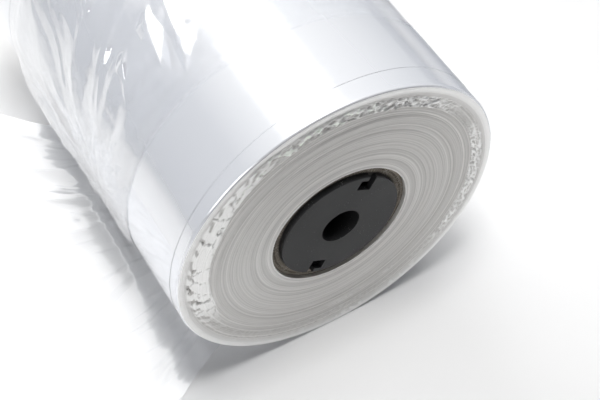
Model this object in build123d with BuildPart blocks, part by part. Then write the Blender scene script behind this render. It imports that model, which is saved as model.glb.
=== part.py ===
"""A roll of clear lay-flat tubing on a plugged cardboard core, lying on the floor.

The roll's axis runs along Y and the end that faces -Y is the front. +Z is up, the floor is z = 0 and
the origin is on the floor under the middle of the roll. The free tail of the film runs out to -X.
All sizes are in millimetres and all angles in degrees.
"""
import os
from math import cos, pi, radians, sin, sqrt

from build123d import *

# Wound film
roll_diameter = 215.4
film_width = 300.0
flat_spot_width = 30.0
rim_rounding = 1.5
winding_clearance = 0.15

# Edges of the turns on the two ends: ridges of turns, and a crushed, ruffled band near the outside
inner_ridges = 6
outer_ridges = 1
ridge_step = 1.4
ridge_wander = 0.6
crushed_margin = 7.2
crushed_width = 11.5
crushed_depth = 2.2
ruffle_count = 26
ruffle_width = 6.0
ruffle_height = 1.3
ruffle_slant = 24.0
ruffle_draft = 25.0

# Loose outer turn, gathered round the middle of the roll, with folds along it
wrap_setback = 62.0
wrap_folds = 17
wrap_slack_low = 0.8
wrap_slack_high = 4.0
wrap_fold_wander = 5.0

# Tail of film on the floor, from under the roll's axis to its cut end
tail_lift_off = 45.0
tail_gather = 85.0
tail_flare = 140.0
tail_reach = 280.0
tail_overhang = 15.0
tail_thickness = 1.2
tail_pleats = 8
tail_start_pleat_height = 1.0
tail_pleat_height = 7.0
tail_flare_pleat_height = 4.0
tail_end_pleat_height = 2.0
tail_swell = 1.4

# Cardboard core
core_inner_diameter = 76.2
core_wall = 7.5
core_recess = 3.5

# Core plugs
flange_lip = 1.65
flange_thickness = 3.5
flange_chamfer = 0.5
plug_fit_clearance = 0.1
skirt_length = 24.0
skirt_wall = 2.4
skirt_lead_in = 1.0
plug_bore_diameter = 25.4
hub_length = 20.0
hub_wall = 2.8
rib_count = 4
rib_thickness = 2.0
rib_depth = 14.0

# Two slots in each plug's flange, open to its rim through a narrower neck
slot_count = 2
slot_angle = 61.0
slot_inner_radius = 29.4
slot_width = 10.0
slot_depth = 7.0
slot_neck_width = 5.0

# Worked out from the sizes above
wound_radius = roll_diameter / 2
axis_height = sqrt(wound_radius**2 - (flat_spot_width / 2) ** 2)
half_width = film_width / 2
core_inner_radius = core_inner_diameter / 2
core_outer_radius = core_inner_radius + core_wall
film_bore_radius = core_outer_radius + winding_clearance
core_half_length = half_width - core_recess
crushed_outer_radius = wound_radius - crushed_margin
crushed_inner_radius = crushed_outer_radius - crushed_width
crushed_middle_radius = crushed_outer_radius - crushed_width / 2
wrap_half_width = half_width - wrap_setback
flange_radius = core_inner_radius + flange_lip
skirt_outer_radius = core_inner_radius - plug_fit_clearance
skirt_inner_radius = skirt_outer_radius - skirt_wall
plug_bore_radius = plug_bore_diameter / 2
hub_outer_radius = plug_bore_radius + hub_wall
rib_middle_radius = (hub_outer_radius + skirt_inner_radius) / 2
rib_length = skirt_inner_radius - hub_outer_radius + skirt_wall
roll_axis = Axis((0, 0, axis_height), (0, 1, 0))


def end_plane(distance: float, facing: int) -> Plane:
    """A plane across the roll, `distance` out from its middle, facing -Y (-1) or +Y (+1)."""
    return Plane((0, facing * distance, axis_height), x_dir=(-facing, 0, 0), z_dir=(0, facing, 0))


def ridge_points(inner: float, outer: float, ridges: int) -> list[tuple[float, float]]:
    """Radius and depth of the grooves and crests of the turns between two radii, on one end."""
    pitch = (outer - inner) / ridges
    points = []
    for ridge in range(ridges):
        crest = ridge_wander * (1 + sin(1.3 * ridge + 2)) / 2
        groove = crest + ridge_step * (1.2 + sin(2.1 * ridge)) / 2
        points.append((inner + ridge * pitch, groove))
        points.append((inner + (ridge + 0.6) * pitch, crest))
    return points


def end_points() -> list[tuple[float, float]]:
    """Radius and depth of one end of the film, from its bore to the rounded outer rim."""
    rim_radius = wound_radius - rim_rounding
    points = ridge_points(film_bore_radius, crushed_inner_radius, inner_ridges)
    points.append((crushed_inner_radius, crushed_depth))
    points.append((crushed_outer_radius, crushed_depth))
    points += ridge_points(crushed_outer_radius, rim_radius, outer_ridges)[1:]
    points.append((rim_radius, 0.0))
    points.append((wound_radius, rim_rounding))
    return points


def tail_points(front: float, rear: float, height: float) -> list[tuple[float, float]]:
    """Outline of the pleated film across the tail, from its front edge to its rear edge and back.

    The film zigzags between the floor and its crests, which vary in height and swell behind the middle.
    """
    steps = 2 * tail_pleats
    lower = []
    for step in range(steps + 1):
        share = step / steps
        swell = 1 + tail_swell * sin(pi * share**1.7) ** 3
        crest = height * (0.65 + 0.35 * sin(2.3 * step)) * swell
        lower.append((front + (rear - front) * share, crest if step % 2 else 0.0))
    upper = [(across, up + tail_thickness) for across, up in reversed(lower)]
    return lower + upper


def front_setback(distance: float) -> float:
    """How far the tail's front edge is behind the roll's front end, out to where the tail flares."""
    return wrap_setback - (wrap_setback + tail_overhang) * distance / tail_flare


# Distance from the axis, front setback, rear setback and height of the pleats at each section
tail_sections = [
    (0.0, wrap_setback, wrap_setback, tail_start_pleat_height),
    (tail_lift_off, front_setback(tail_lift_off), wrap_setback, tail_start_pleat_height),
    (tail_gather, front_setback(tail_gather), wrap_setback, tail_pleat_height),
    (tail_flare, -tail_overhang, tail_overhang, tail_flare_pleat_height),
    (tail_reach, -tail_overhang, tail_overhang, tail_end_pleat_height),
]

os.makedirs("parts", exist_ok=True)

with BuildPart() as film_roll:
    # Tightly wound film, turned about the roll's axis
    with BuildSketch(Plane(roll_axis.position, x_dir=(0, 1, 0), z_dir=(1, 0, 0))):
        with BuildLine():
            front_end = [(depth - half_width, radius) for radius, depth in end_points()]
            rear_end = [(half_width - depth, radius) for radius, depth in reversed(end_points())]
            Polyline(*front_end, *rear_end, close=True)
        make_face()
    revolve(axis=roll_axis)

    # Ruffles where the edges of the turns are crushed
    for facing in (-1, 1):
        with BuildSketch(end_plane(half_width - crushed_depth, facing)):
            with PolarLocations(crushed_middle_radius, ruffle_count):
                Rectangle(crushed_width, ruffle_width, rotation=ruffle_slant)
        extrude(amount=ruffle_height, taper=ruffle_draft)

    # Loose outer turn: arched folds from valley to valley round the roll
    with BuildSketch(end_plane(wrap_half_width, -1)):
        with BuildLine():
            valley = wound_radius + wrap_slack_low
            for fold in range(wrap_folds):
                start = 360 / wrap_folds * fold + wrap_fold_wander * sin(2.6 * fold)
                following = (fold + 1) % wrap_folds
                end = 360 / wrap_folds * (fold + 1) + wrap_fold_wander * sin(2.6 * following)
                middle = radians((start + end) / 2)
                crown = valley + (wrap_slack_high - wrap_slack_low) * (0.6 + 0.4 * sin(1.9 * fold))
                ThreePointArc(
                    (valley * cos(radians(start)), valley * sin(radians(start))),
                    (crown * cos(middle), crown * sin(middle)),
                    (valley * cos(radians(end)), valley * sin(radians(end))),
                )
        make_face()
        Circle(film_bore_radius, mode=Mode.SUBTRACT)
    extrude(amount=-2 * wrap_half_width)

    # Tail: flat under the roll, gathered beside it, then fanning out to its full width
    for distance, setback, rear_setback, height in tail_sections:
        outline = tail_points(setback - half_width, half_width - rear_setback, height)
        with BuildSketch(Plane.YZ.offset(-distance)):
            with BuildLine():
                Polyline(*outline, close=True)
            make_face()
    loft(ruled=True)

    # Flat spot where the soft roll rests
    split(bisect_by=Plane.XY, keep=Keep.TOP)
film_roll.part.label = "film_roll"
export_step(film_roll.part, "parts/film_roll.step")

with BuildPart() as cardboard_core:
    with BuildSketch(end_plane(core_half_length, -1)):
        Circle(core_outer_radius)
        Circle(core_inner_radius, mode=Mode.SUBTRACT)
    extrude(amount=-2 * core_half_length)
cardboard_core.part.label = "cardboard_core"
export_step(cardboard_core.part, "parts/cardboard_core.step")

# Plugs: each flange seats on an end of the core, and its skirt fits the core's bore
for node, facing in (("front_core_plug", -1), ("rear_core_plug", 1)):
    seat = end_plane(core_half_length, facing)
    outward = Axis(seat.origin, seat.z_dir)
    with BuildPart() as core_plug:
        with BuildSketch(seat):
            Circle(flange_radius)
        extrude(amount=flange_thickness)
        chamfer(core_plug.faces().sort_by(outward)[-1].edges(), flange_chamfer)

        with BuildSketch(seat):
            Circle(skirt_outer_radius)
            Circle(skirt_inner_radius, mode=Mode.SUBTRACT)
        extrude(amount=-skirt_length)
        skirt_end = core_plug.faces().sort_by(outward)[0]
        chamfer(skirt_end.edges().sort_by(SortBy.RADIUS)[-1], skirt_lead_in)

        with BuildSketch(seat):
            Circle(hub_outer_radius)
        extrude(amount=-hub_length)

        with BuildSketch(seat):
            with PolarLocations(rib_middle_radius, rib_count, start_angle=slot_angle + 180 / rib_count):
                Rectangle(rib_length, rib_thickness)
        extrude(amount=-rib_depth)

        with Locations(seat.offset(flange_thickness)):
            Hole(plug_bore_radius)

        with BuildSketch(seat):
            with PolarLocations(slot_inner_radius, slot_count, start_angle=slot_angle):
                Rectangle(slot_depth, slot_width, align=(Align.MIN, Align.CENTER))
                with Locations((slot_depth, -slot_width / 2)):
                    Rectangle(flange_radius, slot_neck_width, align=(Align.MIN, Align.MIN))
        extrude(amount=flange_thickness, mode=Mode.SUBTRACT)
    core_plug.part.label = node
    export_step(core_plug.part, f"parts/{node}.step")
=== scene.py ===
"""A roll of clear lay-flat tubing on a plugged cardboard core, dressed for its studio picture.

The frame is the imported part's own, in metres: +Z is up, the floor is z = 0, the roll's axis runs along Y
and the end that faces -Y is the front. Angles round the axis start at +X and grow towards +Z. Wherever
they are named so, `radius` is distances from the axis, `angle` angles round it in radians, and `along`
places along Y.
"""
import logging
from collections.abc import Iterator
from dataclasses import dataclass
from enum import Enum
from typing import Optional

import bpy
import numpy as np
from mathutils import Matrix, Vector


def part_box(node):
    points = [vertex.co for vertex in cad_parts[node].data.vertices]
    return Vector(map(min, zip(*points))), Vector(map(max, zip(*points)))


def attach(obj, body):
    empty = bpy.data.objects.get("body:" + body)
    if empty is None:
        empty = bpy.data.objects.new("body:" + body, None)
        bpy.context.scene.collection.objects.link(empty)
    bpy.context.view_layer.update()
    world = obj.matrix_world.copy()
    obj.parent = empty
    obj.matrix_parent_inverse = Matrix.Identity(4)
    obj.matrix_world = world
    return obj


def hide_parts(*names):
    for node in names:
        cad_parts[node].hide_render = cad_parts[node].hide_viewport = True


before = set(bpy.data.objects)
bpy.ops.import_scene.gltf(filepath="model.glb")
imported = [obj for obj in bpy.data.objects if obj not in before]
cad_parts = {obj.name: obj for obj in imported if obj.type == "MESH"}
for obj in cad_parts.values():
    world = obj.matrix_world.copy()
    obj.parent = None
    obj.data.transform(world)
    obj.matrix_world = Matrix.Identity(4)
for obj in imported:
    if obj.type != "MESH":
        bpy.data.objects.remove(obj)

LOG = logging.getLogger("film_roll")
BODY = "root"
MM = 0.001
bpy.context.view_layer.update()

Array = np.ndarray
Socket = bpy.types.NodeSocket
Piece = bpy.types.Object
Material = bpy.types.Material
Colour = tuple[float, float, float]


class Slot(Enum):
    """Material slots of the part's record."""

    FILM = "clear_film"
    BOARD = "core_board"
    PLASTIC = "plug_plastic"


class End(Enum):
    """The two ends of the roll, by the sign of the Y direction that they face."""

    FRONT = -1
    REAR = 1


# Repeatable noise on whole arrays


def hashed(column: Array, row: Array, seed: int) -> Array:
    """Repeatable random numbers for lattice points: whole numbers are mixed by large odd factors.

    Args:
        column: Whole-number lattice columns.
        row: Whole-number lattice rows.
        seed: Picks one of many unrelated sets of numbers.

    Returns:
        Numbers from 0 to 1, the same for the same lattice point.
    """
    mixed = column.astype(np.int64) * 374761393 + row.astype(np.int64) * 668265263
    mixed = (mixed + seed * 362437) & 0xFFFFFFFF
    mixed = ((mixed ^ (mixed >> 13)) * 1274126177) & 0xFFFFFFFF
    return ((mixed ^ (mixed >> 16)) & 0xFFFFFF) / 0x1000000


def eased(share: Array) -> Array:
    """An S-curve from 0 to 1 over shares from 0 to 1, level at both ends."""
    held = np.clip(share, 0, 1)
    return held * held * (3 - 2 * held)


def smooth_noise(across: Array, along: Array, seed: int, period: int = 0) -> Array:
    """Smooth noise: random values on a lattice, joined by S-curves both ways. Takes what `scattered` takes.

    Returns:
        Values from -1 to 1.
    """
    column, row = np.floor(across), np.floor(along)
    ease_x, ease_y = eased(across - column), eased(along - row)

    def corner(step_x: int, step_y: int) -> Array:
        """Random values at one corner of each cell."""
        at = np.mod(column + step_x, period) if period else column + step_x
        return hashed(at, row + step_y, seed)

    low = corner(0, 0) * (1 - ease_x) + corner(1, 0) * ease_x
    high = corner(0, 1) * (1 - ease_x) + corner(1, 1) * ease_x
    return 2 * (low * (1 - ease_y) + high * ease_y) - 1


def scattered(
    across: Array, along: Array, seed: int, period: int = 0
) -> Iterator[tuple[Array, Array, Array]]:
    """Random points, one in each lattice cell: the nine round each place, one after the other.

    Args:
        across: Places in lattice cells, one way.
        along: Places in lattice cells, the other way.
        seed: Picks the points.
        period: Number of cells after which the points repeat across, or 0 for never.

    Yields:
        How far the places are from the point, both ways, and the point's random number from 0 to 1.
    """
    column, row = np.floor(across), np.floor(along)
    for step_x in (-1, 0, 1):
        for step_y in (-1, 0, 1):
            cell_x, cell_y = column + step_x, row + step_y
            at = np.mod(cell_x, period) if period else cell_x
            away_x = across - cell_x - hashed(at, cell_y, seed)
            away_y = along - cell_y - hashed(at, cell_y, seed + 1)
            yield away_x, away_y, hashed(at, cell_y, seed + 2)


def facets(across: Array, along: Array, seed: int, period: int = 0) -> Array:
    """Crumpled film: many-sided pits with flat facets, which meet in sharp creases.

    Each scattered point is a pit with a random turn. A pit's distance is the largest of the distances
    along three directions 60 degrees apart, and the nearest pit counts. Takes what `scattered` takes.

    Returns:
        Heights from 0 in the pits to about 0.8 on the creases.
    """
    nearest = np.full(np.shape(across), np.inf)
    for away_x, away_y, draw in scattered(across, along, seed, period):
        turn = 2 * np.pi * draw
        distance = np.zeros_like(nearest)
        for side in range(3):
            angle = turn + side * np.pi / 3
            distance = np.maximum(distance, np.abs(away_x * np.cos(angle) + away_y * np.sin(angle)))
        nearest = np.minimum(nearest, distance)
    return nearest


def flakes(
    across: Array, along: Array, seed: int, period: int = 0
) -> tuple[Array, Array]:
    """Torn film: cells round scattered points, each at its own level. Takes what `scattered` takes.

    Returns:
        Levels from 0 to 1, and how much further the second nearest point is than the nearest.
    """
    nearest = np.full(np.shape(across), np.inf)
    second, level = nearest.copy(), np.zeros_like(nearest)
    for away_x, away_y, draw in scattered(across, along, seed, period):
        distance = np.hypot(away_x, away_y)
        closer = distance < nearest
        second = np.where(closer, nearest, np.minimum(second, distance))
        level = np.where(closer, draw, level)
        nearest = np.minimum(nearest, distance)
    return level, second - nearest


def sector(angle: Array, centre: float, half: float) -> Array:
    """A soft mask round the roll: 1 at the centre angle, fading over the half angle, both in degrees."""
    away = np.mod(np.degrees(angle) - centre + 180, 360) - 180
    return np.exp(-((away / half) ** 2))


# Meshes


def grid_object(
    name: str,
    points: Array,
    ring: bool = False,
    loop: bool = False,
    marks: Optional[dict[str, Array]] = None,
    crease_angle: Optional[float] = None,
    second_finish: slice | list[int] | None = None,
) -> Piece:
    """Puts a grid of points into a smooth mesh of quads and links its object at the origin.

    The faces point towards the cross product of the row step and the column step.

    Args:
        name: The piece's name.
        points: Array of rows by columns by three coordinates, in metres.
        ring: Whether the last column joins the first.
        loop: Whether the last row joins the first.
        marks: Arrays of one number per point, kept as attributes of these names.
        crease_angle: Angle in degrees above which an edge is drawn sharp, or None for none.
        second_finish: Rows of faces that take the piece's second material, or None for none.

    Returns:
        The new object.
    """
    rows, columns = points.shape[:2]
    index = np.arange(rows * columns).reshape(rows, columns)
    if ring:
        index = np.hstack([index, index[:, :1]])
    if loop:
        index = np.vstack([index, index[:1]])
    corners = [index[:-1, :-1], index[1:, :-1], index[1:, 1:], index[:-1, 1:]]
    quads = np.stack(corners, axis=-1).reshape(-1, 4)
    mesh = bpy.data.meshes.new(name)
    mesh.from_pydata(points.reshape(-1, 3).tolist(), [], quads.tolist())
    for mark, values in (marks or {}).items():
        attribute = mesh.attributes.new(mark, "FLOAT", "POINT")
        attribute.data.foreach_set("value", values.astype(np.float32).ravel())
    mesh.shade_smooth()
    if second_finish is not None:
        choice = np.zeros((len(index) - 1, index.shape[1] - 1), dtype=np.int32)
        choice[second_finish] = 1
        mesh.polygons.foreach_set("material_index", choice.ravel())
    if crease_angle is not None:
        mesh.set_sharp_from_angle(angle=np.radians(crease_angle))
    mesh.validate()
    piece = bpy.data.objects.new(name, mesh)
    bpy.context.scene.collection.objects.link(piece)
    return piece


# Shader nodes


class Nodes:
    """A node tree that is filled by short calls."""

    def __init__(self, tree: bpy.types.NodeTree) -> None:
        """Empties the tree and keeps it."""
        self.tree = tree
        tree.nodes.clear()

    def add(self, kind: str, inputs: Optional[dict] = None, **settings: object) -> bpy.types.Node:
        """Adds one node.

        Args:
            kind: The node's type without its ShaderNode prefix.
            inputs: Values or output sockets by the name or number of the input.
            settings: Properties of the node.

        Returns:
            The new node.
        """
        prefix = "" if kind.startswith("Node") else "ShaderNode"
        node = self.tree.nodes.new(prefix + kind)
        for key, value in settings.items():
            setattr(node, key, value)
        for key, value in (inputs or {}).items():
            if isinstance(value, Socket):
                self.tree.links.new(value, node.inputs[key])
            else:
                node.inputs[key].default_value = value
        return node

    def math(self, operation: str, *values: object) -> Socket:
        """The result of one arithmetic step on numbers or sockets."""
        return self.add("Math", dict(enumerate(values)), operation=operation).outputs[0]

    def place(self) -> Socket:
        """The object's own coordinates."""
        return self.add("TexCoord").outputs["Object"]

    def mark(self, name: str) -> Socket:
        """A mark of the mesh, by its name."""
        return self.add("Attribute", attribute_name=name).outputs["Fac"]

    def ramp(
        self, mask: object, low: float, high: float, start: float = 0, end: float = 1
    ) -> Socket:
        """A mask spread from `low`..`high` onto `start`..`end`, and held there."""
        spread = {"Value": mask, "From Min": low, "From Max": high, "To Min": start, "To Max": end}
        return self.add("MapRange", spread).outputs["Result"]

    def blend(self, mask: object, first: object, second: object) -> Socket:
        """A colour between two colours, by a mask from 0 to 1."""
        colours = {"Factor": mask, "A": first, "B": second}
        node = self.add("Mix", data_type="RGBA")
        for key, value in colours.items():
            wanted = "VALUE" if key == "Factor" else "RGBA"
            socket = next(s for s in node.inputs if s.name == key and s.type == wanted)
            if isinstance(value, Socket):
                self.tree.links.new(value, socket)
            else:
                socket.default_value = value if key == "Factor" else (*value, 1.0)
        return next(s for s in node.outputs if s.type == "RGBA")

    def noise(self, scale: object, detail: float = 2) -> Socket:
        """Noise from 0 to 1 on the object's own coordinates."""
        values = {"Vector": self.place(), "Scale": scale, "Detail": detail}
        return self.add("TexNoise", values).outputs["Fac"]

    def rightward(self, low: float, high: float, start: float, end: float) -> Socket:
        """A number that goes from `start` to `end` between two places along the object's own X."""
        across = self.add("SeparateXYZ", {0: self.place()}).outputs["X"]
        return self.ramp(across, low, high, start, end)

    def bump(self, height: Socket, distance: float, strength: float) -> Socket:
        """A normal from heights in a texture."""
        values = {"Height": height, "Distance": distance, "Strength": strength}
        return self.add("Bump", values).outputs[0]

    def output(self, surface: bpy.types.Node) -> None:
        """Makes a shader node the material's surface."""
        self.add("OutputMaterial", {"Surface": surface.outputs[0]})

    def surface(self, inputs: dict) -> None:
        """Makes one principled shader, with these inputs, the material's surface."""
        self.output(self.add("BsdfPrincipled", inputs))


def new_group(name: str, takes: dict[str, float], gives: tuple[str, ...]) -> tuple[bpy.types.NodeTree, Nodes]:
    """Starts a shader node group that takes numbers, with their defaults, and gives numbers."""
    tree = bpy.data.node_groups.new(name, "ShaderNodeTree")
    nodes = Nodes(tree)
    for socket, value in takes.items():
        tree.interface.new_socket(socket, in_out="INPUT", socket_type="NodeSocketFloat").default_value = value
    for socket in gives:
        tree.interface.new_socket(socket, in_out="OUTPUT", socket_type="NodeSocketFloat")
    return tree, nodes


class Effects:
    """Shader node groups that several finishes share."""

    def __init__(self) -> None:
        """Builds the groups once."""
        self.turn_lines = self._turn_lines()
        self.speckle = self._speckle()

    @staticmethod
    def _turn_lines() -> bpy.types.NodeTree:
        """Fine rings round the roll's axis: one-dimensional noise over the radius, which wavers a little."""
        takes = {"Axis Height": 0.1, "Pitch": 0.001, "Waver": 0.0005}
        tree, nodes = new_group("turn_lines", takes, ("Lines", "Radius"))
        given = nodes.add("NodeGroupInput").outputs
        split = nodes.add("SeparateXYZ", {0: nodes.place()}).outputs
        up = nodes.math("SUBTRACT", split["Z"], given["Axis Height"])
        flat = nodes.add("CombineXYZ", {"X": split["X"], "Z": up}).outputs[0]
        radius = nodes.add("VectorMath", {0: flat}, operation="LENGTH").outputs["Value"]
        drift = nodes.noise(14.0, 1.0)
        shifted = nodes.math("MULTIPLY_ADD", drift, given["Waver"], radius)
        turns = nodes.math("DIVIDE", shifted, given["Pitch"])
        rings = nodes.add("TexNoise", {"W": turns, "Scale": 1.0, "Detail": 3.0}, noise_dimensions="1D")
        lines = nodes.ramp(rings.outputs["Fac"], 0.34, 0.66)
        nodes.add("NodeGroupOutput", {"Lines": lines, "Radius": radius})
        return tree

    @staticmethod
    def _speckle() -> bpy.types.NodeTree:
        """Scattered specks: the high parts of fine noise, where a broad noise lets them show."""
        takes = {"Scale": 800.0, "Spread": 30.0, "Level": 0.62}
        tree, nodes = new_group("speckle", takes, ("Mask",))
        given = nodes.add("NodeGroupInput").outputs
        fine = nodes.noise(given["Scale"], 3.0)
        broad = nodes.noise(given["Spread"])
        shown = nodes.ramp(broad, 0.35, 0.65)
        above = nodes.math("SUBTRACT", fine, given["Level"])
        mask = nodes.math("MULTIPLY", nodes.ramp(above, 0.0, 0.06), shown)
        nodes.add("NodeGroupOutput", {"Mask": mask})
        return tree


def new_material(name: str) -> tuple[Material, Nodes]:
    """Starts a node material of this name."""
    material = bpy.data.materials.new(name)
    material.use_nodes = True
    return material, Nodes(material.node_tree)


# Finishes


@dataclass(frozen=True)
class WoundFilmFinish:
    """Many tight turns of clear film: a pale silvery body with a clean gloss."""

    body: Colour = (0.92, 0.93, 0.955)
    shade: Colour = (0.87, 0.885, 0.92)
    gloss_square: float = 0.56
    gloss_slant: float = 1.0
    smoothest: float = 0.08
    roughest: float = 0.15
    streak_height: float = 0.04 * MM
    # painted shade: the tint that darkens the reflection towards the right side of the roll
    right_reflection_shade: Colour = (0.42, 0.44, 0.48)

    def material(self) -> Material:
        """Body colour, roughness and faint streaks from noise that is drawn out round the roll, and a
        reflection painted darker towards the right side.
        """
        material, nodes = new_material("wound_film")
        streaks = nodes.add("Mapping", {"Vector": nodes.place(), "Scale": (18.0, 160.0, 18.0)}).outputs[0]
        lines = nodes.add("TexNoise", {"Vector": streaks, "Scale": 1.0, "Detail": 3.0}).outputs["Fac"]
        cloud = nodes.noise(9.0, 3.0)
        slant = nodes.add("LayerWeight", {"Blend": 0.5}).outputs["Facing"]
        # painted shade: the reflection's tint darkens towards the right side of the roll
        right = nodes.rightward(50 * MM, 85 * MM, 0, 1)
        nodes.surface(
            {
                "Base Color": nodes.blend(cloud, self.body, self.shade),
                "Specular Tint": nodes.blend(right, (1.0, 1.0, 1.0), self.right_reflection_shade),
                "Metallic": nodes.ramp(slant, 0, 1, self.gloss_square, self.gloss_slant),
                "Roughness": nodes.ramp(lines, 0.3, 0.7, self.smoothest, self.roughest),
                "Normal": nodes.bump(lines, self.streak_height, 0.35),
            }
        )
        return material


@dataclass(frozen=True)
class TurnEdgeFinish:
    """The edges of the turns on the roll's ends: milky rings, whiter where they are torn or crushed."""

    dark: Colour = (0.515, 0.502, 0.486)
    light: Colour = (0.855, 0.84, 0.82)
    rim: Colour = (0.97, 0.97, 0.965)
    torn: Colour = (0.96, 0.96, 0.95)
    # painted shade: the colour laid into cracks and notches in the torn film and across the top of the
    # crushed band
    painted_shade: Colour = (0.5, 0.485, 0.465)
    # painted glint: a pale green tint for the sparkling flecks at the top of the crushed band
    painted_glint: Colour = (0.93, 0.98, 0.90)
    gloss_share: float = 0.25
    torn_gloss: float = 0.85
    roughness: float = 0.36
    line_height: float = 0.25 * MM
    fine_pitch: float = 1.1 * MM
    fine_share: float = 0.6
    band_pitch: float = 3.6 * MM
    waver: float = 1.2 * MM

    def material(self, effects: Effects, roll: "RollFrame") -> Material:
        """Rings of two widths by radius, a paler rim, and torn film from the mesh's own marks. The marks also
        paint light and shade: glints on flecks, paler rings on the left, and shade in cracks, notches and
        across the top of the band.
        """
        material, nodes = new_material("turn_edges")

        def rings(pitch: float) -> bpy.types.Node:
            """Rings of one width round the axis."""
            values = {"Axis Height": roll.axis_height, "Pitch": pitch, "Waver": self.waver}
            return nodes.add("Group", values, node_tree=effects.turn_lines)

        fine, bands = rings(self.fine_pitch), rings(self.band_pitch)
        radius = fine.outputs["Radius"]
        fine_share = nodes.math("MULTIPLY", fine.outputs["Lines"], self.fine_share)
        both = nodes.math("MULTIPLY_ADD", bands.outputs["Lines"], 1 - self.fine_share, fine_share)
        milky = nodes.blend(both, self.dark, self.light)
        outer = nodes.ramp(radius, 0.92 * roll.wound_radius, 0.97 * roll.wound_radius, 0, 0.9)
        pale = nodes.blend(outer, milky, self.rim)
        # the ruffle mark is partly the real whiteness of torn and ruffled film, partly painted light: paler
        # rings on the left and painted glints on the flecks
        ruffle = nodes.mark("ruffle")
        white = nodes.blend(ruffle, pale, self.torn)
        # painted glint: the flecks at the top are tinted pale green
        tinted = nodes.blend(nodes.mark("painted_glint"), white, self.painted_glint)
        # painted shade: this mark darkens the colour in cracks, notches and across the top of the band
        colour = nodes.blend(nodes.mark("painted_shade"), tinted, self.painted_shade)
        shiny = nodes.math("MAXIMUM", ruffle, nodes.math("MULTIPLY", outer, 0.8))
        nodes.surface(
            {
                "Base Color": colour,
                "Metallic": nodes.ramp(shiny, 0.2, 0.9, self.gloss_share, self.torn_gloss),
                "Roughness": self.roughness,
                "Normal": nodes.bump(fine.outputs["Lines"], self.line_height, 0.5),
            }
        )
        return material


@dataclass(frozen=True)
class ClearFilmFinish:
    """Loose clear film: see-through, mirror-like at a slant, hazy along its creases."""

    name: str
    gloss: Colour = (0.97, 0.975, 0.985)
    haze: Colour = (0.93, 0.94, 0.955)
    clear: Colour = (0.995, 0.996, 0.998)
    gloss_square: float = 0.10
    gloss_slant: float = 0.72
    gloss_roughness: float = 0.06
    haze_low: float = 0.03
    haze_high: float = 0.12
    crease_haze: float = 0.16
    tight_gloss: float = 0.3
    lets_through: float = 0.9

    def material(self) -> Material:
        """Clear film, veiled by haze and creases, under a gloss that grows with the slant.

        The gloss is weaker on the right, where the film lies tight, and fades out at the film's edges and
        for the rays that look for lamps, because thin film casts hardly any shadow.
        """
        material, nodes = new_material(self.name)
        cloud = nodes.noise(22.0, 3.0)
        veil = nodes.ramp(cloud, 0.35, 0.75, self.haze_low, self.haze_high)
        haze = nodes.math("MULTIPLY_ADD", nodes.mark("crease"), self.crease_haze, veil)
        clear = nodes.add("BsdfTransparent", {"Color": (*self.clear, 1.0)})
        hazy = nodes.add("BsdfPrincipled", {"Base Color": (*self.haze, 1.0), "Roughness": 0.5})
        gloss = nodes.add(
            "BsdfPrincipled",
            {"Base Color": (*self.gloss, 1.0), "Metallic": 1.0, "Roughness": self.gloss_roughness},
        )
        body = nodes.add("MixShader", {0: haze, 1: clear.outputs[0], 2: hazy.outputs[0]})
        facing = nodes.add("LayerWeight", {"Blend": 0.5}).outputs["Facing"]
        steep = nodes.math("POWER", facing, 4.0)
        slant = nodes.math("MULTIPLY_ADD", steep, self.gloss_slant, self.gloss_square)
        tight = nodes.math("MULTIPLY", slant, nodes.rightward(-12 * MM, 16 * MM, 1, self.tight_gloss))
        lit = nodes.add("LightPath").outputs["Is Shadow Ray"]
        bare = nodes.math("MAXIMUM", nodes.mark("edge"), nodes.math("MULTIPLY", lit, self.lets_through))
        share = nodes.math("MULTIPLY", tight, nodes.ramp(bare, 0, 1, 1, 0))
        nodes.output(nodes.add("MixShader", {0: share, 1: body.outputs[0], 2: gloss.outputs[0]}))
        return material


@dataclass(frozen=True)
class BoardFinish:
    """Wound grey-brown cardboard: plies round the axis, fibres and a rough edge."""

    dark: Colour = (0.125, 0.106, 0.085)
    light: Colour = (0.30, 0.268, 0.222)
    fibre: Colour = (0.40, 0.365, 0.315)
    # painted shade: near-black colour for the board's inner edge next to the plug's flange
    corner: Colour = (0.012, 0.011, 0.010)
    flange_radius: float = 39.75 * MM
    flange_shade_width: float = 1.2 * MM
    nap_height: float = 0.2 * MM
    ply: float = 1.3 * MM
    waver: float = 0.8 * MM

    def material(self, effects: Effects, roll: "RollFrame") -> Material:
        """Plies by radius, with fibre specks over them and painted shade in the corner round the plug's
        flange.
        """
        material, nodes = new_material("core_board")
        layers = {"Axis Height": roll.axis_height, "Pitch": self.ply, "Waver": self.waver}
        plies = nodes.add("Group", layers, node_tree=effects.turn_lines)
        sizes = {"Scale": 900.0, "Spread": 120.0, "Level": 0.5}
        specks = nodes.add("Group", sizes, node_tree=effects.speckle)
        board = nodes.blend(plies.outputs["Lines"], self.dark, self.light)
        fibres = nodes.blend(specks.outputs["Mask"], board, self.fibre)
        # painted shade: the board darkens towards the plug's flange, as if shaded by it
        flange_shade_end = self.flange_radius + self.flange_shade_width
        flange_shade = nodes.ramp(plies.outputs["Radius"], self.flange_radius, flange_shade_end, 0.9, 0)
        colour = nodes.blend(flange_shade, fibres, self.corner)
        nap = nodes.bump(nodes.noise(1400.0, 3.0), self.nap_height, 0.6)
        nodes.surface({"Base Color": colour, "Roughness": 0.9, "Normal": nap})
        return material


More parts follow.
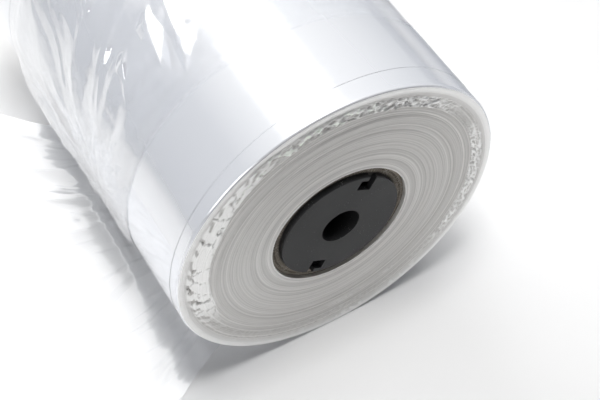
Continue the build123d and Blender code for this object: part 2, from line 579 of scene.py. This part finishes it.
@dataclass(frozen=True)
class PlugFinish:
    """Black moulded plastic with a fine eggshell skin, scuffs and a little dust."""

    body: Colour = (0.010, 0.0104, 0.0115)
    cloud: Colour = (0.018, 0.0184, 0.0196)
    dust: Colour = (0.32, 0.32, 0.31)
    skin_height: float = 0.05 * MM

    def material(self, effects: Effects) -> Material:
        """Clouded black with sparse dust, and a skin from fine noise."""
        material, nodes = new_material("plug_plastic")
        cloud = nodes.noise(45.0, 4.0)
        sizes = {"Scale": 1300.0, "Spread": 90.0, "Level": 0.66}
        dust = nodes.add("Group", sizes, node_tree=effects.speckle)
        black = nodes.blend(nodes.ramp(cloud, 0.3, 0.7), self.body, self.cloud)
        colour = nodes.blend(dust.outputs["Mask"], black, self.dust)
        nodes.surface(
            {
                "Base Color": colour,
                "Roughness": nodes.ramp(cloud, 0.3, 0.7, 0.42, 0.55),
                "Specular IOR Level": 0.36,
                "Normal": nodes.bump(nodes.noise(2200.0, 2.0), self.skin_height, 0.5),
            }
        )
        return material


# The roll


@dataclass(frozen=True)
class RollFrame:
    """Where the roll lies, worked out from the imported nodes, in metres."""

    axis_height: float
    half_width: float
    wound_radius: float
    bore_radius: float
    tail_reach: float
    tail_front: float

    @classmethod
    def from_nodes(cls, flat_spot: float = 30 * MM, winding_clearance: float = 0.15 * MM) -> "RollFrame":
        """Reads the boxes of the core, the front plug and the film.

        Args:
            flat_spot: Width of the flat that the roll rests on.
            winding_clearance: Gap between the core and the innermost turn.
        """
        core_low, core_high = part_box("cardboard_core")
        plug_low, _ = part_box("front_core_plug")
        film_low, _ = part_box("film_roll")
        height = (core_low.z + core_high.z) / 2
        return cls(
            axis_height=height,
            half_width=-plug_low.y,
            wound_radius=float(np.hypot(height, flat_spot / 2)),
            bore_radius=(core_high.z - core_low.z) / 2 + winding_clearance,
            tail_reach=-film_low.x,
            tail_front=film_low.y,
        )

    @staticmethod
    def dents(angle: Array, along: Array) -> Array:
        """How far the outer turn stands off a true cylinder: soft dents of two sizes, drawn out round it."""
        turn = angle / (2 * np.pi)
        broad = smooth_noise(turn * 9, along / (55 * MM) + 7, 11, 9)
        fine = smooth_noise(turn * 30 + 0.6 * broad, along / (16 * MM) + 3, 12, 30)
        return 0.22 * MM * broad + 0.05 * MM * fine

    def around(self, radius: Array, angle: Array, along: Array, floor: float = 0.0) -> Array:
        """Points at a radius and an angle round the axis, pressed flat where they would sink into the floor.

        Args:
            radius, angle, along: Where the points are.
            floor: Lowest height that a point may have.

        Returns:
            The points, with the coordinates in a last dimension.
        """
        radius, angle, along = np.broadcast_arrays(radius, angle, along)
        height = np.maximum(self.axis_height + radius * np.sin(angle), floor)
        return np.stack([radius * np.cos(angle), along, height], axis=-1)


@dataclass(frozen=True)
class Shard:
    """One sharp fold: its tip and base as degrees round the roll and millimetres along it, width and slope.

    The flank behind the crest is `back` times as wide as the one in front of it.
    """

    tip: tuple[float, float]
    base: tuple[float, float]
    width: float
    slope: float
    back: float = 3.0

    def rise(self, radius: float, angle: Array, along: Array) -> Array:
        """Heights of the fold: two flat flanks that widen from the tip and meet in a crest.

        Args:
            radius, angle, along: Where the heights are wanted, on one radius.

        Returns:
            Heights in metres.
        """
        ends = (self.tip, self.base)
        start, end = (np.array([radius * np.radians(turn), place * MM]) for turn, place in ends)
        run = end - start
        across, away = radius * np.mod(angle, 2 * np.pi) - start[0], along - start[1]
        share = (across * run[0] + away * run[1]) / (run @ run)
        side = (away * run[0] - across * run[1]) / np.sqrt(run @ run)
        width = self.width * MM * np.clip(share, 0.02, 1)
        flank = np.clip(np.minimum(1 - side / width, 1 + side / (self.back * width)), 0, None)
        return self.slope * width * flank * eased(share / 0.1) * (1 - eased((share - 1) / 0.6))


@dataclass(frozen=True)
class GatheredFolds:
    """Folds that fan out over the roll from the point on its left where the loose film is bunched."""

    roll: RollFrame
    angle: float = np.radians(179)
    along: float = -52 * MM
    cells: int = 22
    growth: float = 0.8
    reach: float = 70 * MM
    fine_share: float = 0.2

    def rise(self, angle: Array, along: Array, seed: int) -> tuple[Array, Array, Array]:
        """Heights of the folds at a slope of one.

        Shards are facets over the direction from the bunched point and the logarithm of the distance from
        it, as high as they are wide. Narrower shards of the same kind lie over them.

        Args:
            angle, along: Where the heights are wanted.
            seed: Picks the shards.

        Returns:
            Heights in metres, crease marks from 0 to 1, and distances from the bunched point in metres.
        """
        turn = np.mod(angle - self.angle + np.pi, 2 * np.pi) - np.pi
        arc, away = self.roll.wound_radius * turn, along - self.along
        distance = np.hypot(arc, away) + 6 * MM
        bearing = np.arctan2(away, arc) / (2 * np.pi) + 0.5
        warp = 0.5 * smooth_noise(arc / (40 * MM) + 50, away / (40 * MM) + 50, seed)
        rings = np.log(distance / (10 * MM)) / self.growth
        shard = facets(bearing * self.cells + warp, rings + 30, seed + 10, self.cells)
        finer = facets(bearing * 3 * self.cells + 2 * warp, 1.4 * rings + 60, seed + 20, 3 * self.cells)
        wide = 2 * np.pi / self.cells * np.minimum(distance, self.reach)
        fade = 1 - 0.8 * eased((np.abs(turn) - 1.1) / 1.0)
        crease = eased((shard - 0.42) / 0.3) * fade
        return wide * fade * (shard + self.fine_share * finer / 3), crease, distance


@dataclass
class WoundRoll:
    """The tightly wound film: its outside, and the edges of its turns on both ends."""

    roll: RollFrame
    folds: GatheredFolds
    outside_columns: int = 560
    front_columns: int = 730
    rear_columns: int = 420
    outside_rows: int = 168
    crumpled_half: float = 84 * MM
    crumple_slope: float = 0.04
    lap: float = 0.1 * MM
    lap_setback: float = 13 * MM
    lap_swing: float = 4 * MM
    lap_turn: float = 0.4
    end_depth: float = 24 * MM
    rim_rounding: float = 2.2 * MM
    crushed_margin: float = 7.2 * MM
    crushed_width: float = 11.5 * MM
    crushed_depth: float = 1.6 * MM
    fleck_height: float = 0.5 * MM
    ruffles: int = 150
    torn_flakes: int = 44
    notches: int = 58
    flecks: int = 210
    rings: int = 118

    @staticmethod
    def angles(columns: int) -> Array:
        """Angles of a number of columns round the roll."""
        return np.linspace(0, 2 * np.pi, columns, endpoint=False)[None, :]

    def slack(self, angle: Array, along: Array) -> Array:
        """How far the outer turn stands off a true cylinder: its dents, and the loose turn's folds."""
        pressed = eased((self.crumpled_half - np.abs(along)) / (14 * MM))
        rise, _, _ = self.folds.rise(angle, along, 300)
        folded = self.crumple_slope * pressed * (rise - 0.4 * rise.max())
        return self.roll.dents(angle, along) + np.minimum(folded, 0.1 * MM)

    def outside(self) -> Piece:
        """The outer turns: a closed ring-shaped profile carried round the axis.

        The profile goes from the bore to the back of the end piece, forward under the lap's edge, along the
        outside and back in the same way at the rear. The lap's own edges have the turn edges' finish.
        """
        roll, angle = self.roll, self.angles(self.outside_columns)
        inner_end = roll.half_width - self.end_depth
        edge = roll.half_width - self.lap_setback - self.lap_swing * np.cos(angle - self.lap_turn)
        step = np.linspace(-1, 1, self.outside_rows)[:, None]
        along = step * edge
        rounding = self.lap * eased((1 - np.abs(step)) / 0.02) - self.lap
        skin = roll.wound_radius + self.slack(angle, along) + rounding * 0.4
        shelf = np.full_like(angle, roll.wound_radius - self.lap)
        bore = np.full_like(angle, roll.bore_radius)
        ends = np.full_like(angle, inner_end)
        radius = np.vstack([bore, shelf, shelf, skin, shelf, shelf, bore])
        across = np.vstack([-ends, -ends, -edge, along, edge, ends, ends])
        points = roll.around(radius, angle, across, 0.4 * MM)
        lap_edges = [2, -4]
        return grid_object("wound_film", points, True, True, None, 55, lap_edges)

    def ring_depth(self, radius: Array, angle: Array, seed: int) -> Array:
        """How deep the turns' edges lie below the end: bundles, groups and single turns, which waver."""
        turn = angle / (2 * np.pi)
        shifted = radius + 0.7 * MM * smooth_noise(turn * 5, radius / (20 * MM), seed + 5, 5)
        bundle = smooth_noise(turn * 2, shifted / (5.5 * MM), seed, 2)
        group = smooth_noise(turn * 4, shifted / (2.1 * MM), seed + 1, 4)
        single = smooth_noise(turn * 7, shifted / (0.9 * MM), seed + 2, 7)
        return MM * (0.75 + 0.4 * np.tanh(2.5 * bundle) + 0.24 * np.tanh(2.5 * group) + 0.12 * single)

    def end_relief(self, radius: Array, angle: Array, end: End) -> tuple[Array, dict[str, Array]]:
        """Depth of one end's relief, and its marks.

        Between the rings and the rim lies a crushed band. On one side it is a torn sheet with a few cracks
        and a row of notches along its outer edge. Elsewhere it is ruffled: facets that slant across the band,
        with finer ones on them. Small flecks of film stand out at the top and the bottom. The marks paint
        light and shade: shade in the cracks, the notches and across the top of the band, glints on the
        flecks, and paler rings on the left, as if lit from that side.

        Args:
            radius, angle: Where the depths are wanted.
            end: The end of the roll, which picks the pattern and its turn.

        Returns:
            Depths below the end plane in metres, and marks from 0 to 1 by their names.
        """
        seed, shift = (100, 0.0) if end is End.FRONT else (200, 2.3)
        placed, turn = angle + shift, angle / (2 * np.pi)
        outer = self.roll.wound_radius - self.crushed_margin
        wander = 1.4 * MM * smooth_noise(turn * 11, 0 * radius, seed + 7, 11)
        degrees = np.mod(np.degrees(placed), 360)
        torn = eased((degrees - 106) / 18) * eased((216 - degrees) / 30)
        outer = outer + 3 * MM * torn * eased((204 - degrees) / 40)
        inner = outer - self.crushed_width * (0.72 + 0.62 * torn * eased((degrees - 112) / 45))
        jagged = smooth_noise(turn * 170, radius / (2.2 * MM), seed + 19, 170)
        into = (radius - inner + wander + 0.5 * MM * jagged) / (outer - inner)
        band = eased(into / 0.07) * eased((1 - into) / 0.1)

        slant = turn * self.ruffles + 2.4 * into
        ruffle = facets(slant, into * 1.7 + 20, seed + 9, self.ruffles)
        shred = facets(slant * 2 + 0.3, into * 4 + 40, seed + 13, 2 * self.ruffles)
        rough = 0.55 + 0.45 * smooth_noise(turn * 12, 0 * radius, seed + 17, 12)
        rough = rough * (1 - 0.6 * sector(placed, 255, 50))
        ruffled = self.crushed_depth - MM * rough * (2.4 * ruffle + 1.6 * shred - 0.5)

        skew = turn * self.torn_flakes + 0.6 * into + 0.16 * jagged
        level, border = flakes(skew, into * 0.9 + 0.16 * jagged + 10, seed + 21, self.torn_flakes)
        cracked = eased((0.075 - border) / 0.05) * eased((level - 0.45) / 0.1)
        soft = smooth_noise(turn * 70, radius / (5 * MM), seed + 25, 70)
        tooth = np.mod(turn * self.notches + 1.7 * into + 0.22 * soft + 0.16 * jagged, 1)
        reach = (outer - radius + wander) / self.crushed_width + 0.16 * jagged
        notched = eased((0.6 - 0.25 * soft - reach) / 0.08)
        notched = notched * eased((tooth - 0.5) / 0.16) * eased((1 - tooth) / 0.04)
        cut = 0.9 * cracked + notched * (0.2 + 0.9 * (1 - tooth))
        flaked = MM * (0.45 + 0.3 * soft + 0.25 * level + cut)

        fleck_turn, fleck_row = turn * self.flecks + 0.8 * jagged, radius / (2.4 * MM) + 0.6 * jagged
        fleck, _ = flakes(fleck_turn, fleck_row, seed + 29, self.flecks)
        # painted glints: the flecks picked here are painted white, and pale green at the top, through the
        # marks
        lit = eased((fleck - 0.78) / 0.06)
        rows = radius / self.roll.wound_radius
        low = np.exp(-(((rows - 0.79) / 0.014) ** 2)) + np.exp(-(((rows - 0.945) / 0.016) ** 2))
        low = low * sector(placed, 284, 26) * lit
        high = band * sector(placed, 101, 26)

        rings = self.ring_depth(radius, angle, seed)
        rings = rings * (1 - 0.55 * eased((radius - outer) / (3 * MM)))
        crushed = torn * flaked + (1 - torn) * ruffled
        depth = rings * (1 - band) + band * crushed - self.fleck_height * (low + high * lit)
        bright = 1 + 1.2 * sector(placed, 15, 45)
        white = torn * (1 - notched) + (1 - torn) * rough * bright * eased((shred - 0.16) / 0.45)
        # painted light: the rings on the left are whitened, as if lit from that side
        pale = 0.25 * (1 - band) * sector(placed, 185, 42)
        # painted shade: cracks and notches in the torn sheet are darkened, as if shaded by the flakes above
        # them
        dark = band * torn * np.maximum(0.55 * cracked, 0.16 * notched)
        marks = {
            # the ruffle mark is partly the real whiteness of torn and ruffled film, partly painted light:
            # paler rings on the left and painted glints on the flecks
            "ruffle": np.clip(band * white * (1 - 0.35 * high) + pale + low + high * lit, 0, 1),
            # painted shade: cracks, notches, and the top of the band between its flecks
            "painted_shade": np.clip(dark + 0.16 * high * (1 - lit), 0, 1),
            # painted glint: the flecks at the top of the band
            "painted_glint": high * lit,
        }
        return np.maximum(depth, 0.05 * MM), marks

    def end(self, end: End) -> Piece:
        """One end's turn edges: a closed ring-shaped profile carried round the axis.

        The profile goes out over the relief, round the rim, along the outside under the lap and back.
        """
        roll, angle = self.roll, self.angles(self.front_columns if end is End.FRONT else self.rear_columns)
        outside = roll.wound_radius - self.lap - 0.05 * MM
        rim = outside - self.rim_rounding
        radius = np.linspace(roll.bore_radius, rim, self.rings)[:, None]
        depth, marks = self.end_relief(radius, angle, end)
        rim_depth = depth[-1:]
        sweep = np.linspace(0, np.pi / 2, 9)[1:, None]
        rim_radius = rim + self.rim_rounding * np.sin(sweep)
        rim_in = rim_depth + self.rim_rounding * (1 - np.cos(sweep))
        back = np.full_like(angle, self.end_depth)
        skin_in = np.linspace(0.2, 1, 6)[:, None] * back
        lip = roll.dents(angle, end.value * (roll.half_width - skin_in))
        bore = np.full_like(angle, roll.bore_radius)
        rounded = rim_radius + lip[:1] * np.sin(sweep)
        rows_radius = np.vstack([bore, radius + 0 * angle, rounded, outside + lip])
        rows_depth = np.vstack([back, depth, rim_in, skin_in])
        calm = np.zeros_like(angle)
        past_rim = np.repeat(calm, len(sweep) + len(skin_in), axis=0)
        marks = {mark: np.vstack([calm, values, past_rim]) for mark, values in marks.items()}
        along = end.value * (roll.half_width - rows_depth)
        points = roll.around(rows_radius, angle, along, 0.1 * MM)
        outside_rows = slice(self.rings + 3, None)
        if end is End.REAR:
            points = points[::-1]
            marks = {mark: values[::-1] for mark, values in marks.items()}
            outside_rows = slice(None, len(sweep) + len(skin_in) - 2)
        name = f"{end.name.lower()}_turn_edges"
        return grid_object(name, points, True, True, marks, 70, outside_rows)

    def build(self, effects: Effects) -> list[Piece]:
        """Builds and dresses the outside and both ends, in place of the plain film."""
        film = WoundFilmFinish().material()
        edges = TurnEdgeFinish().material(effects, self.roll)
        finishes = {self.outside(): (film, edges)}
        finishes.update({self.end(end): (edges, film) for end in End})
        for piece, used in finishes.items():
            for finish in used:
                piece.data.materials.append(finish)
            seat(piece, Slot.FILM, "film_roll")
        return list(finishes)


@dataclass
class LooseFilm:
    """The loose outer turn round the middle of the roll, and the tail on the floor."""

    roll: RollFrame
    folds: GatheredFolds
    film_width: float = 300 * MM
    turn_setback: float = 62 * MM
    turn_columns: int = 480
    turn_rows: int = 170
    fold_slope: float = 0.22
    hem: float = 28 * MM
    hem_rows: int = 15
    bare_edge: float = 4 * MM
    slack_low: float = 0.8 * MM
    swell_height: float = 1.5 * MM
    bag_height: float = 3 * MM
    edge_rolls: tuple[float, ...] = (4 * MM, 12 * MM, 21 * MM)
    edge_roll_height: float = 0.12 * MM
    tail_start: float = 18 * MM
    tail_lift_off: float = 45 * MM
    tail_gather: float = 85 * MM
    tail_flare: float = 140 * MM
    tail_overhang: float = 15 * MM
    tail_pleats: int = 8
    tail_swell: float = 1.4
    tail_heights: tuple[float, ...] = (0.3, 0.8, 1.7, 2.2, 2.4)
    tail_lift: float = 4.4 * MM
    tail_bunch: float = 3 * MM
    tail_clearance: float = 0.15 * MM
    tail_rows: int = 270
    tail_columns: int = 330
    shards: tuple[Shard, ...] = (
        Shard((125.5, -64), (121, -36), 11, 0.38, 0.8),
        Shard((118, -68), (114, -34), 10, 0.32, 0.8),
        Shard((121, -76), (116, -60), 7, 0.36, 0.8),
        Shard((127.5, -16), (119, -9), 3.2, 0.5),
        Shard((133, 7), (128, 14), 2.6, 0.55),
        Shard((141.5, -61), (133.5, -43), 2.4, 0.7),
        Shard((155, -44), (138, -26), 4, 0.5),
        Shard((150, -8), (128, 10), 4, 0.5),
    )

    def turn_slack(self, angle: Array, along: Array) -> tuple[Array, Array]:
        """How far the loose turn stands off the wound film.

        The folds fan out from the bunched point. Small facets, a soft swell beside the floor, a bag above the
        point, single shards and three rolls of film along each edge lie over them.

        Args:
            angle, along: Where the slack is wanted.

        Returns:
            Slack in metres, and the crease marks from 0 to 1.
        """
        rise, crease, distance = self.folds.rise(angle, along, 31)
        turn = np.mod(angle - self.folds.angle + np.pi, 2 * np.pi) - np.pi
        fade = 1 - 0.75 * eased((np.abs(turn) - 1.1) / 1.0)
        crumple = facets(angle / (2 * np.pi) * 90, along / (9 * MM) + 60, 51, 90)
        broad = smooth_noise(angle / (2 * np.pi) * 17, along / (70 * MM) + 20, 61, 17)
        swell = np.exp(-(((turn - 0.3) / 0.28) ** 2) - ((along - 10 * MM) / (50 * MM)) ** 2)
        bag = np.exp(-(((turn + 0.84) / 0.32) ** 2))
        slack = self.slack_low + self.fold_slope * rise + 0.2 * MM * crumple * fade
        slack = slack + 0.5 * MM * (1 + broad) + self.swell_height * swell + self.bag_height * bag
        slack = slack + sum(shard.rise(self.roll.wound_radius, angle, along) for shard in self.shards)
        inside = self.roll.half_width - self.turn_setback - np.abs(along)
        rolls = sum(np.exp(-(((inside - at) / (2.4 * MM)) ** 2)) for at in self.edge_rolls)
        bunched = np.exp(-((distance / (75 * MM)) ** 2))
        slack = slack * (0.02 + 0.98 * eased(inside / (26 * MM))) + self.edge_roll_height * rolls
        return slack, np.maximum(np.maximum(crease, bunched), rolls)

    def loose_turn(self) -> Piece:
        """The loose turn: a crumpled sleeve, with finer columns on the left, where its shards stand."""
        roll = self.roll
        circle = np.linspace(0, 2 * np.pi, 2001)
        passed = np.cumsum(1 + 3.2 * sector(circle, 138, 42))
        shares = (passed - passed[0]) / (passed[-1] - passed[0])
        angle = np.interp(np.arange(self.turn_columns) / self.turn_columns, shares, circle)[None, :]
        half = roll.half_width - self.turn_setback
        edge = half + 1.5 * MM * smooth_noise(angle / (2 * np.pi) * 14, 0 * angle, 71, 14)
        over = np.linspace(-1, 1, self.turn_rows)[:, None] * edge
        under = edge - self.hem * np.linspace(1, 0.01, self.hem_rows)[:, None]
        along = np.vstack([-under, over, under[::-1]])
        hidden = np.ones((self.hem_rows, 1))
        beneath = np.vstack([hidden, np.zeros((self.turn_rows, 1)), hidden])
        slack, crease = self.turn_slack(angle, along)
        rim = 1 - eased((edge - np.abs(along)) / self.bare_edge) * (1 - beneath)
        slack = 0.14 * MM + slack * (1 - 0.8 * beneath) + roll.dents(angle, along)
        points = roll.around(roll.wound_radius + slack, angle, along, 0.25 * MM)
        marks = {"crease": crease, "edge": rim}
        return grid_object("loose_turn", points, ring=True, marks=marks, crease_angle=60)

    def pleat(self, share: Array) -> Array:
        """Pleats across the tail: S-curves from floor to crest, with crests that swell behind the middle."""
        step = np.arange(2 * self.tail_pleats + 1)
        swell = 1 + self.tail_swell * np.sin(np.pi * (step / step[-1]) ** 1.7) ** 3
        crest = (0.65 + 0.35 * np.sin(2.3 * step)) * swell * (step % 2)
        lower = np.minimum((share * step[-1]).astype(int), step[-1] - 1)
        ease = eased(share * step[-1] - lower)
        return crest[lower] * (1 - ease) + crest[lower + 1] * ease

    def tail(self) -> Piece:
        """The tail: a pleated sheet, a function of the distance from the axis and the share across it."""
        roll = self.roll
        distance = np.linspace(roll.tail_reach, self.tail_start, self.tail_rows)[:, None]
        share = np.linspace(0, 1, self.tail_columns)[None, :]
        front_run = np.minimum(distance / self.tail_flare, 1)
        front = self.turn_setback - (self.turn_setback + self.tail_overhang) * front_run
        rear_run = eased((distance - self.tail_gather) / (self.tail_flare - self.tail_gather))
        rear = self.turn_setback + (self.tail_overhang - self.turn_setback) * rear_run
        low, high = front - roll.half_width, roll.half_width - rear
        places = [self.tail_start, self.tail_lift_off, self.tail_gather, self.tail_flare, roll.tail_reach]
        height = np.interp(distance, places, np.array(self.tail_heights) * MM)
        meander = 0.02 * smooth_noise(share * 11 + 3, distance / (45 * MM), 81)
        pleats = self.pleat(np.clip(share + meander, 0, 1))
        sliver = facets(share * 34 + 4 * meander * 11, distance / (48 * MM) + 9, 94)
        crumple = facets(share * 70 + 5, distance / (9 * MM) + 70, 101)
        rise = height * (0.3 * pleats + 0.14 * sliver) + 0.02 * height * crumple
        across = low + (high - low) * share
        waver = 4 * MM * smooth_noise(share * 7, 0 * share, 121)
        lift = eased((147 * MM + waver - distance) / (56 * MM))
        lift = lift * (1 - eased((91 * MM - distance) / (36 * MM)))
        lift = lift * (1 + 0.08 * smooth_noise(share * 13, distance / (60 * MM), 131))
        near = np.exp(-(((distance - 99 * MM) / (7 * MM)) ** 2))
        bunch = near * np.exp(-(((across + 20 * MM) / (44 * MM)) ** 2))
        rise = rise + self.tail_clearance + self.tail_lift * lift
        rise = rise + self.tail_bunch * bunch * (0.75 + 0.5 * sliver)
        edge = 3 * MM * smooth_noise(share * 9, 0 * share, 111) * eased((distance - 200 * MM) / (80 * MM))
        points = np.stack(np.broadcast_arrays(-distance + edge, across, rise), axis=-1)
        crease = np.maximum(eased((sliver - 0.42) / 0.3), bunch)
        return grid_object("film_tail", points, marks={"crease": crease})

    def build(self) -> list[Piece]:
        turn, tail = self.loose_turn(), self.tail()
        finishes = {
            turn: ClearFilmFinish(
                "loose_film", gloss_square=0.42, gloss_slant=0.55, gloss_roughness=0.02, haze_low=0.02,
                haze_high=0.08, crease_haze=0.03,
            ),
            tail: ClearFilmFinish("tail_film", gloss_square=0.19, gloss_slant=0.65, gloss_roughness=0.12),
        }
        for piece, finish in finishes.items():
            piece.data.materials.append(finish.material())
            seat(piece, Slot.FILM, "film_roll")
        return [turn, tail]


@dataclass
class PluggedCore:
    """The cardboard core and its two plugs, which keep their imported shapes."""

    roll: RollFrame

    def dress(self, effects: Effects) -> list[Piece]:
        """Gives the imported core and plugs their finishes."""
        board = BoardFinish().material(effects, self.roll)
        plastic = PlugFinish().material(effects)
        finishes = {"cardboard_core": board, "front_core_plug": plastic, "rear_core_plug": plastic}
        for node, finish in finishes.items():
            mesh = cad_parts[node].data
            mesh.materials.clear()
            mesh.materials.append(finish)
        return [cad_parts[node] for node in finishes]


def seat(piece: Piece, slot: Slot, *nodes: str) -> Piece:
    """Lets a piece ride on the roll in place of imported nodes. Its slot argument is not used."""
    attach(piece, BODY)
    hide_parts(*nodes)
    return piece


# The studio


@dataclass(frozen=True)
class Panel:
    """A rectangular soft light."""

    name: str
    place: tuple[float, float, float]
    aim: tuple[float, float, float]
    width: float
    height: float
    radiance: float
    colour: Colour = (1.0, 1.0, 1.0)

    def light(self) -> Piece:
        """Places the panel, with the power that gives its radiance."""
        lamp = bpy.data.lights.new(self.name, "AREA")
        lamp.shape = "RECTANGLE"
        lamp.size, lamp.size_y = self.width, self.height
        lamp.energy = self.radiance * np.pi * self.width * self.height
        lamp.color = self.colour
        panel = bpy.data.objects.new(self.name, lamp)
        panel.location = self.place
        panel.rotation_euler = (Vector(self.aim) - Vector(self.place)).to_track_quat("-Z", "Y").to_euler()
        panel.visible_camera = False
        bpy.context.scene.collection.objects.link(panel)
        return panel


@dataclass
class Studio:
    """Floor, lights and camera."""

    camera_place: tuple[float, float, float] = (-0.24341, -0.51747, 0.73161)
    camera_aim: tuple[float, float, float] = (-0.02782, -0.150, 0.15163)
    lens: float = 78.0
    sensor: float = 36.0
    floor_half: float = 6.0
    floor_colour: Colour = (0.93, 0.93, 0.93)
    far_floor: tuple[float, float] = (0.55, 1.3)
    backdrop: Colour = (0.90, 0.90, 0.90)
    left_wall: Colour = (0.60, 0.615, 0.65)
    right_wall: Colour = (0.70, 0.715, 0.74)
    front_wall: Colour = (0.16, 0.16, 0.165)
    ceiling: Colour = (1.0, 1.0, 1.0)
    ceiling_left: tuple[float, float] = (-50.0, -8.0)
    ceiling_right: tuple[float, float] = (18.0, 84.0)
    window: Colour = (3.0, 3.0, 3.0)
    window_left: tuple[float, float] = (-19.0, 4.0)
    window_right: tuple[float, float] = (10.0, 29.0)

    def camera(self) -> None:
        """Places the camera at the photograph's viewpoint."""
        data = bpy.data.cameras.new("camera")
        data.lens, data.sensor_width = self.lens, self.sensor
        data.clip_start, data.clip_end = 0.01, 50
        camera = bpy.data.objects.new("camera", data)
        camera.location = self.camera_place
        gaze = Vector(self.camera_aim) - Vector(self.camera_place)
        camera.rotation_euler = gaze.to_track_quat("-Z", "Y").to_euler()
        bpy.context.scene.collection.objects.link(camera)
        bpy.context.scene.camera = camera

    def floor(self) -> None:
        """Lays the pale floor, which far out is as pale in the gloss of the film as the walls are."""
        side = np.linspace(-self.floor_half, self.floor_half, 2)
        x, y = np.meshgrid(side, side, indexing="ij")
        floor = grid_object("floor", np.stack([x, y, 0 * x], axis=-1))
        material, nodes = new_material("floor")
        matt = nodes.add("BsdfPrincipled", {"Base Color": (*self.floor_colour, 1.0), "Roughness": 0.7})
        away = nodes.add("VectorMath", {0: nodes.place()}, operation="LENGTH").outputs["Value"]
        path = nodes.add("LightPath").outputs
        far = nodes.math("MULTIPLY", nodes.ramp(away, *self.far_floor), path["Is Glossy Ray"])
        wall = nodes.add("Emission", {"Color": (*self.left_wall, 1.0)})
        nodes.output(nodes.add("MixShader", {0: far, 1: matt.outputs[0], 2: wall.outputs[0]}))
        floor.data.materials.append(material)

    def lights(self) -> None:
        """Hangs a small lamp over the roll, and wider ones on its left, on its right and behind it."""
        middle = (0.0, -0.1, 0.1)
        Panel("left_panel", (-1.1, -0.55, 0.75), middle, 0.8, 0.8, 1.7).light()
        unmirrored = [
            Panel("top_lamp", (-0.05, -0.20, 1.75), (-0.05, -0.15, 0.0), 0.5, 0.5, 18.1),
            Panel("top_back_panel", (0.0, 0.25, 1.6), (0.0, 0.0, 0.0), 0.7, 0.7, 3.0),
            Panel("top_right_panel", (0.6, -0.1, 1.5), (0.0, -0.1, 0.0), 0.7, 0.7, 4.0),
            Panel("back_panel", (0.1, 1.1, 0.8), middle, 0.8, 0.5, 6.25),
        ]
        for panel in unmirrored:
            panel.light().visible_glossy = False

    def room(self) -> None:
        """Colours the surroundings by direction.

        The walls go from a cool grey on the left to a paler one on the right, and are dim in front. Behind
        and above, a pale ceiling with a bright window in it fades in and out with the angle from the
        vertical. Only gloss shows this, so that the floor keeps its shadows, and the camera sees a backdrop.
        """
        world = bpy.data.worlds.new("studio")
        bpy.context.scene.world = world
        world.use_nodes = True
        nodes = Nodes(world.node_tree)
        facing = nodes.add("SeparateXYZ", {0: nodes.add("TexCoord").outputs["Generated"]}).outputs
        back = nodes.blend(nodes.ramp(facing["X"], -0.5, 0.7), self.left_wall, self.right_wall)
        walls = nodes.blend(nodes.ramp(facing["Y"], -0.7, 0.05), self.front_wall, back)
        tilt = nodes.math("ARCTAN2", facing["X"], facing["Z"])
        behind = nodes.ramp(facing["Y"], -0.45, -0.15)

        def strip(left: tuple[float, float], right: tuple[float, float]) -> Socket:
            """A mask over the back that rises and falls between angles from the vertical, in degrees."""
            rise = nodes.ramp(tilt, *np.radians(left))
            fall = nodes.ramp(tilt, *np.radians(right), 1, 0)
            return nodes.math("MULTIPLY", nodes.math("MULTIPLY", rise, fall), behind)

        pale = nodes.blend(strip(self.ceiling_left, self.ceiling_right), walls, self.ceiling)
        room = nodes.blend(strip(self.window_left, self.window_right), pale, self.window)
        path = nodes.add("LightPath").outputs
        seen = nodes.blend(path["Is Camera Ray"], room, self.backdrop)
        gloss = nodes.math("MAXIMUM", path["Is Glossy Ray"], path["Is Transmission Ray"])
        shown = nodes.math("MAXIMUM", gloss, path["Is Camera Ray"])
        background = nodes.add("Background", {"Color": seen, "Strength": shown})
        nodes.add("OutputWorld", {"Surface": background.outputs[0]})

    def build(self) -> None:
        """Sets up the whole studio."""
        scene = bpy.context.scene
        scene.view_settings.view_transform = "Standard"
        scene.cycles.transparent_max_bounces = 24
        self.camera()
        self.floor()
        self.lights()
        self.room()


def main() -> None:
    """Builds the studio and the roll, and reports each piece."""
    logging.basicConfig(level=logging.INFO, format="%(name)s: %(message)s")
    Studio().build()
    roll = RollFrame.from_nodes()
    effects = Effects()
    pieces = PluggedCore(roll).dress(effects)
    folds = GatheredFolds(roll)
    pieces += WoundRoll(roll, folds).build(effects)
    pieces += LooseFilm(roll, folds).build()
    for piece in pieces:
        LOG.info("%s: %d faces", piece.name, len(piece.data.polygons))


if __name__ == "__main__":
    main()
